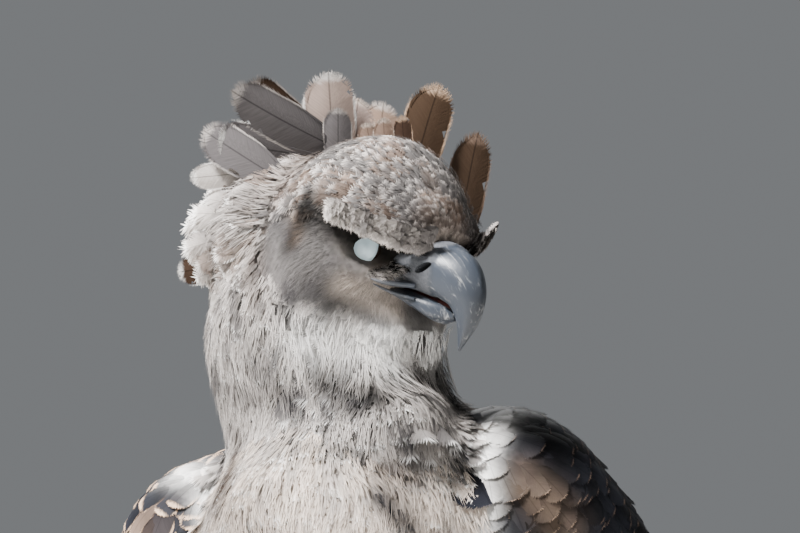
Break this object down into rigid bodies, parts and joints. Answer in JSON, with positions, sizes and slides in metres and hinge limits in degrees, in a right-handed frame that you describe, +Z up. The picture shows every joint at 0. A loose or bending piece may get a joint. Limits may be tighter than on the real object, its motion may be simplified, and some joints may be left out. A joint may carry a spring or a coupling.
{
  "type": "harpy eagle",
  "caption": "Life-size harpy eagle standing with wings folded, head turned to its left and crest raised, as a still museum model.",
  "frame": {"origin": "under the middle of the bird's bounding box, on the ground its toes stand on", "axes": "+Z up, the chest looks towards -Y, the bird's left side is +X"},
  "size_m": [0.2762, 0.6384, 0.6823],
  "materials": {
    "grey_plumage": "soft pale grey feathers of the head and crest",
    "pale_plumage": "soft cream-white feathers",
    "slate_plumage": "slate-grey feathers with pale edges",
    "barred_plumage": "dark tail feathers with grey bars",
    "thigh_plumage": "white feathers with fine dark bars",
    "bill_horn": "slate-blue horn, satin, scuffed",
    "talon_horn": "black horn, polished",
    "yellow_skin": "dull yellow scaled skin",
    "eye": "wet eyeball behind its pale third lid"
  },
  "bodies": {
    "root": {"claw_hind_left": "talon_horn", "claw_hind_right": "talon_horn", "claw_inner_left": "talon_horn", "claw_inner_right": "talon_horn", "claw_middle_left": "talon_horn", "claw_middle_right": "talon_horn", "claw_outer_left": "talon_horn", "claw_outer_right": "talon_horn", "eye_left": "eye", "eye_right": "eye", "foot_left": "yellow_skin", "foot_right": "yellow_skin", "head": "grey_plumage", "lower_bill": "bill_horn", "neck": "pale_plumage", "tail": "barred_plumage", "tarsus_left": "yellow_skin", "tarsus_right": "yellow_skin", "thigh_left": "thigh_plumage", "thigh_right": "thigh_plumage", "torso": "pale_plumage", "upper_bill": "bill_horn", "wing_left": "slate_plumage", "wing_right": "slate_plumage"}
  },
  "joints": []
}
